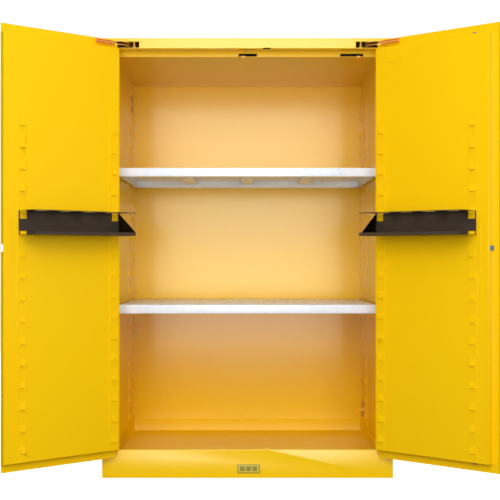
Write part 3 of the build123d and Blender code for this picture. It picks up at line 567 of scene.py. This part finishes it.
# %% Lanced tabs
def tab_hood(mesh_data, place, wide, tall, proud):
    """One lanced tab at a place in its sheet's axes: hollow, open at its lower end."""
    verts = bmesh.ops.create_cube(mesh_data, size=1.0)["verts"]
    bmesh.ops.scale(mesh_data, verts=verts, vec=(wide, proud, tall))
    bmesh.ops.translate(mesh_data, verts=verts, vec=(0, proud / 2, tall / 2))
    top = [v for v in verts if v.co.z > tall / 2 and v.co.y > 0]
    bmesh.ops.translate(mesh_data, verts=top, vec=(0, 0.0004 - proud, 0))
    front = [v for v in verts if v.co.y > 0]
    bmesh.ops.scale(mesh_data, verts=front, vec=(0.88, 1, 1))
    mouth = [f for f in {f for v in verts for f in v.link_faces}
             if all(v.co.z < 0.0001 for v in f.verts)]
    rim = bmesh.ops.inset_region(mesh_data, faces=mouth, thickness=0.0013, use_even_offset=True)
    inner = mouth[0].verts[:]
    bmesh.ops.translate(mesh_data, verts=inner, vec=(0, -0.0012, 0.0052))
    hood = {v for v in verts} | set(inner) | {v for f in rim["faces"] for v in f.verts}
    creases = {e for v in verts for e in v.link_edges
               if all(end in verts for end in e.verts) and max(end.co.y for end in e.verts) > 0.0002}
    made = bmesh.ops.bevel(mesh_data, geom=list(creases), offset=0.0011, offset_type="OFFSET",
                           affect="EDGES", segments=2, profile=0.5, material=-1, clamp_overlap=True)
    hood = {v for v in hood if v.is_valid} | set(made["verts"])
    bmesh.ops.translate(mesh_data, verts=list(hood), vec=place)


def pairs(values):
    """Sorted distinct values, two by two."""
    distinct = sorted({round(value, 4) for value in values})
    return list(zip(distinct[::2], distinct[1::2]))


for node, space in spaces.items():
    points = space.points(node)
    low, high = space.box(node)
    proud_points = [p for p in points if p.y > high.y - 0.00005]
    columns = pairs(p.x for p in proud_points)
    rungs = [bottom for bottom, _ in pairs(p.z for p in proud_points)]
    strip_face = sorted({round(p.y, 5) for p in points})[1]
    strip = merged_copy(node)
    bmesh.ops.transform(strip, verts=strip.verts, matrix=space.matrix.inverted())
    for vertex in strip.verts:
        if vertex.co.y > strip_face:
            vertex.co.y = strip_face
    bmesh.ops.remove_doubles(strip, verts=strip.verts, dist=0.00002)
    tall = 0.0245
    for left, right in columns:
        for bottom in rungs:
            tab_hood(strip, ((left + right) / 2, strip_face - 0.0001, bottom - 0.0002),
                     right - left + 0.0006, tall, high.y - strip_face + 0.0002)
    bmesh.ops.transform(strip, verts=strip.verts, matrix=space.matrix)
    piece = stand_in(node, strip, "strips", crease=30.0)
    print(node, len(columns), "strips of", len(rungs), "tabs,", len(piece.data.polygons), "faces")

# %% [markdown]
# ## Header mechanism
# Each door carries a gold-plated arm that runs through a slot of the header as the door turns. On
# the door it is a pressed channel, and past the channel it splits into a fork of two thin strips.
# The channel's plate is a darker gold than its raised rib, as painted shade round the rib.
# The strips are the imported arm's own arc, thinned and set one above the other, so the fork keeps
# the exact circle about the hinge pin and still clears its slot at every angle. Beside each slot
# stands an hourglass post, and below it two domed knobs ride on the coordinator bar, which is made
# near-black as painted shade, so that the slots look dark.

# %% Arms
def cube(mesh_data, low, high):
    """A box between two corners; returns its vertices."""
    verts = bmesh.ops.create_cube(mesh_data, size=1.0)["verts"]
    bmesh.ops.scale(mesh_data, verts=verts, vec=[b - a for a, b in zip(low, high)])
    bmesh.ops.translate(mesh_data, verts=verts, vec=[(a + b) / 2 for a, b in zip(low, high)])
    return verts


def bracket(mesh_data, low, high):
    """A thin plate with a raised rib along it and a rivet at its free end."""
    plate = cube(mesh_data, low, (high[0], low[1] + 0.0009, high[2]))
    rib_low = low[2] + 0.0042
    rib = cube(mesh_data, (low[0] + 0.004, low[1] + 0.0008, rib_low),
               (high[0] - 0.012, high[1], rib_low + 0.0052))
    middle_z = (low[2] + high[2]) / 2
    rivet = bmesh.ops.create_uvsphere(mesh_data, u_segments=16, v_segments=8, radius=1.0)["verts"]
    bmesh.ops.scale(mesh_data, verts=rivet, vec=(0.0042, 0.0010, 0.0042))
    bmesh.ops.translate(mesh_data, verts=rivet, vec=(high[0] - 0.0055, low[1] + 0.0009, middle_z))
    for verts, ease in ((plate, 0.0003), (rib, 0.0004)):
        edges = list({e for v in verts for e in v.link_edges})
        bmesh.ops.bevel(mesh_data, geom=edges, offset=ease, segments=2, offset_type="OFFSET",
                        affect="EDGES", profile=0.5, material=-1, clamp_overlap=True)


def strip_arc(mesh_data, inner, outer, start, end, bottom, thick):
    """A flat strip bent round the Z axis from one angle to another, closed at both ends."""
    turn = Matrix.Rotation(start, 3, "Z")
    corners = [mesh_data.verts.new(turn @ Vector((radius, 0, bottom + up)))
               for radius, up in ((inner, 0), (outer, 0), (outer, thick), (inner, thick))]
    sides = [mesh_data.edges.new((a, b)) for a, b in zip(corners, corners[1:] + corners[:1])]
    bmesh.ops.spin(mesh_data, geom=corners + sides, cent=(0, 0, 0), axis=(0, 0, 1),
                   angle=end - start, steps=28, use_merge=False, use_duplicate=False)
    bmesh.ops.holes_fill(mesh_data, edges=[e for e in mesh_data.edges if e.is_boundary], sides=0)


for name in ("left", "right"):
    node = "swing_arm_" + name
    space = spaces["tray_rails_" + name]
    low, high = space.box(node)
    plate_face = space.box("door_liner_" + name)[1].y
    ring = [p for p in space.points(node)
            if p.xy.length < 0.0515 and abs(p.z - (low.z + 0.007)) < 0.0021]
    radii = [p.xy.length for p in ring]
    angles = [math.atan2(p.y, p.x) for p in ring if p.xy.length > max(radii) - 0.0002]
    arm = bmesh.new()
    for strip_z in (low.z + 0.0004, low.z + 0.0116):
        strip_arc(arm, min(radii), max(radii), min(angles), max(angles), strip_z, 0.0018)
    rest = set(arm.faces)
    bracket(arm, (0.0270, plate_face, low.z), (high.x + 0.0180, plate_face + 0.0018, low.z + 0.0145))
    # The bracket's plate, round the raised rib, takes the darker gold: painted shade along the rib.
    for face in set(arm.faces) - rest:
        if face.calc_center_median().y < plate_face + 0.00095:
            face.material_index = 1
    bmesh.ops.transform(arm, verts=arm.verts, matrix=space.matrix)
    piece = stand_in(node, arm, "fork")
    piece.data.materials.append(painted_shade_gold)
    print(node, len(piece.data.polygons), "faces")


# %% Posts and coordinator
def turned(mesh_data, profile, place, axis="Z", steps=24):
    """Spins a profile of (radius, height) points about the Z axis through the origin; the place and axis
    arguments are not used.
    """
    verts = [mesh_data.verts.new((radius, 0, height)) for radius, height in profile]
    edges = [mesh_data.edges.new(pair) for pair in zip(verts, verts[1:])]
    made = bmesh.ops.spin(mesh_data, geom=verts + edges, cent=(0, 0, 0), axis=(0, 0, 1),
                          angle=math.tau, steps=steps, use_merge=True, use_duplicate=False)
    whole = list({v for v in mesh_data.verts if v.index == -1 or v in made["geom_last"]} | set(verts))
    return whole


posts = bmesh.new()
low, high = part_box("arm_posts")
hourglass = ((0.0, 0.0), (0.0062, 0.0), (0.0062, 0.006), (0.0034, 0.013), (0.0028, 0.018),
             (0.0034, 0.023), (0.0062, 0.030), (0.0062, high.z - low.z), (0.0, high.z - low.z))
turned(posts, hourglass, None)
bmesh.ops.remove_doubles(posts, verts=posts.verts, dist=0.00002)
post_radius = 0.0062
post_x = high.x - (high.y - low.y) / 2
second = [v for v in bmesh.ops.duplicate(
    posts, geom=posts.verts[:] + posts.edges[:] + posts.faces[:])["geom"]
    if isinstance(v, bmesh.types.BMVert)]
first = [v for v in posts.verts if v not in set(second)]
for verts, x in ((first, -post_x), (second, post_x)):
    bmesh.ops.translate(posts, verts=verts, vec=(x, (low.y + high.y) / 2, low.z))
stand_in("arm_posts", posts, "hourglass", crease=40.0)

low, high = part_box("coordinator_bar")
bar = merged_copy("coordinator_bar")
rounded(bar, 0.0006, narrow=0.0009)
lip_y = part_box("liner_top")[0].y
knob_places = sorted({round(v.co.x, 3) for v in bar.verts if v.co.y < lip_y - 0.008})
stems = pairs(knob_places[:1] + knob_places[-1:])[0]
bar_piece = stand_in("coordinator_bar", bar, "bar")
# Painted shade: the bar is made near-black so the slots above it look dark.
bar_piece.data.materials[0] = painted_shade_bar
knobs = bmesh.new()
for x in (stems[0] + 0.004, stems[1] - 0.004):
    dome = bmesh.ops.create_uvsphere(knobs, u_segments=24, v_segments=12, radius=1.0)["verts"]
    bmesh.ops.scale(knobs, verts=dome, vec=(0.0120, 0.0058, 0.0054))
    bmesh.ops.translate(knobs, verts=dome, vec=(x, low.y + 0.0030, low.z - 0.0035))
settle(knobs, "coordinator_knobs", "coordinator", gold)
print("posts at", round(post_x, 4), "knobs at", [round(x, 3) for x in stems])

# %% [markdown]
# ## Blank label plate
# A small olive plate with a lighter field and three plain panels. It carries no words or signs.

# %% Label plate
low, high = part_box("label_plate")
plate = merged_copy("label_plate")
rounded(plate, 0.0003)
stand_in("label_plate", plate, "plate")
middle = (low + high) / 2
wide, tall = high.x - low.x, high.z - low.z
RULE = 0.0042
field = bmesh.new()
cube(field, (low.x + RULE, low.y - 0.0002, low.z + RULE), (high.x - RULE, low.y + 0.0001, high.z - RULE))
settle(field, "label_field", "cabinet", plate_field)
panels = bmesh.new()
half = tall * 0.25
for shift in (-0.27, 0.0, 0.27):
    x = middle.x + wide * shift
    cube(panels, (x - half, low.y - 0.0004, middle.z - half), (x + half, low.y - 0.0001, middle.z + half))
settle(panels, "label_panels", "cabinet", plate_panel)
print("label plate", round(wide / MM), "x", round(tall / MM), "mm")

# %% Floor
floor_mesh = bmesh.new()
bmesh.ops.create_grid(floor_mesh, x_segments=1, y_segments=1, size=30.0)
bmesh.ops.translate(floor_mesh, verts=floor_mesh.verts, vec=(0, 0, cad_low.z - 0.0005))
floor_data = bpy.data.meshes.new("floor")
floor_mesh.to_mesh(floor_data)
floor_mesh.free()
floor = bpy.data.objects.new("floor", floor_data)
bpy.context.scene.collection.objects.link(floor)
pale = Finish("pale_floor", Roughness=0.7, Specular_IOR_Level=0.2, Emission_Strength=0.75)
pale.shader.inputs["Emission Color"].default_value = (1, 1, 1, 1)
pale.feed(Base_Color=pale.mix(pale.noise(3.0), (0.90, 0.90, 0.90, 1), (0.93, 0.93, 0.93, 1)))
floor_data.materials.append(pale.material)
floor.visible_diffuse = False
floor.visible_glossy = False
floor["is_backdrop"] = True

# %% Sizes
low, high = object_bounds()
print("visual box", [round(v, 4) for v in (*low, *high)])
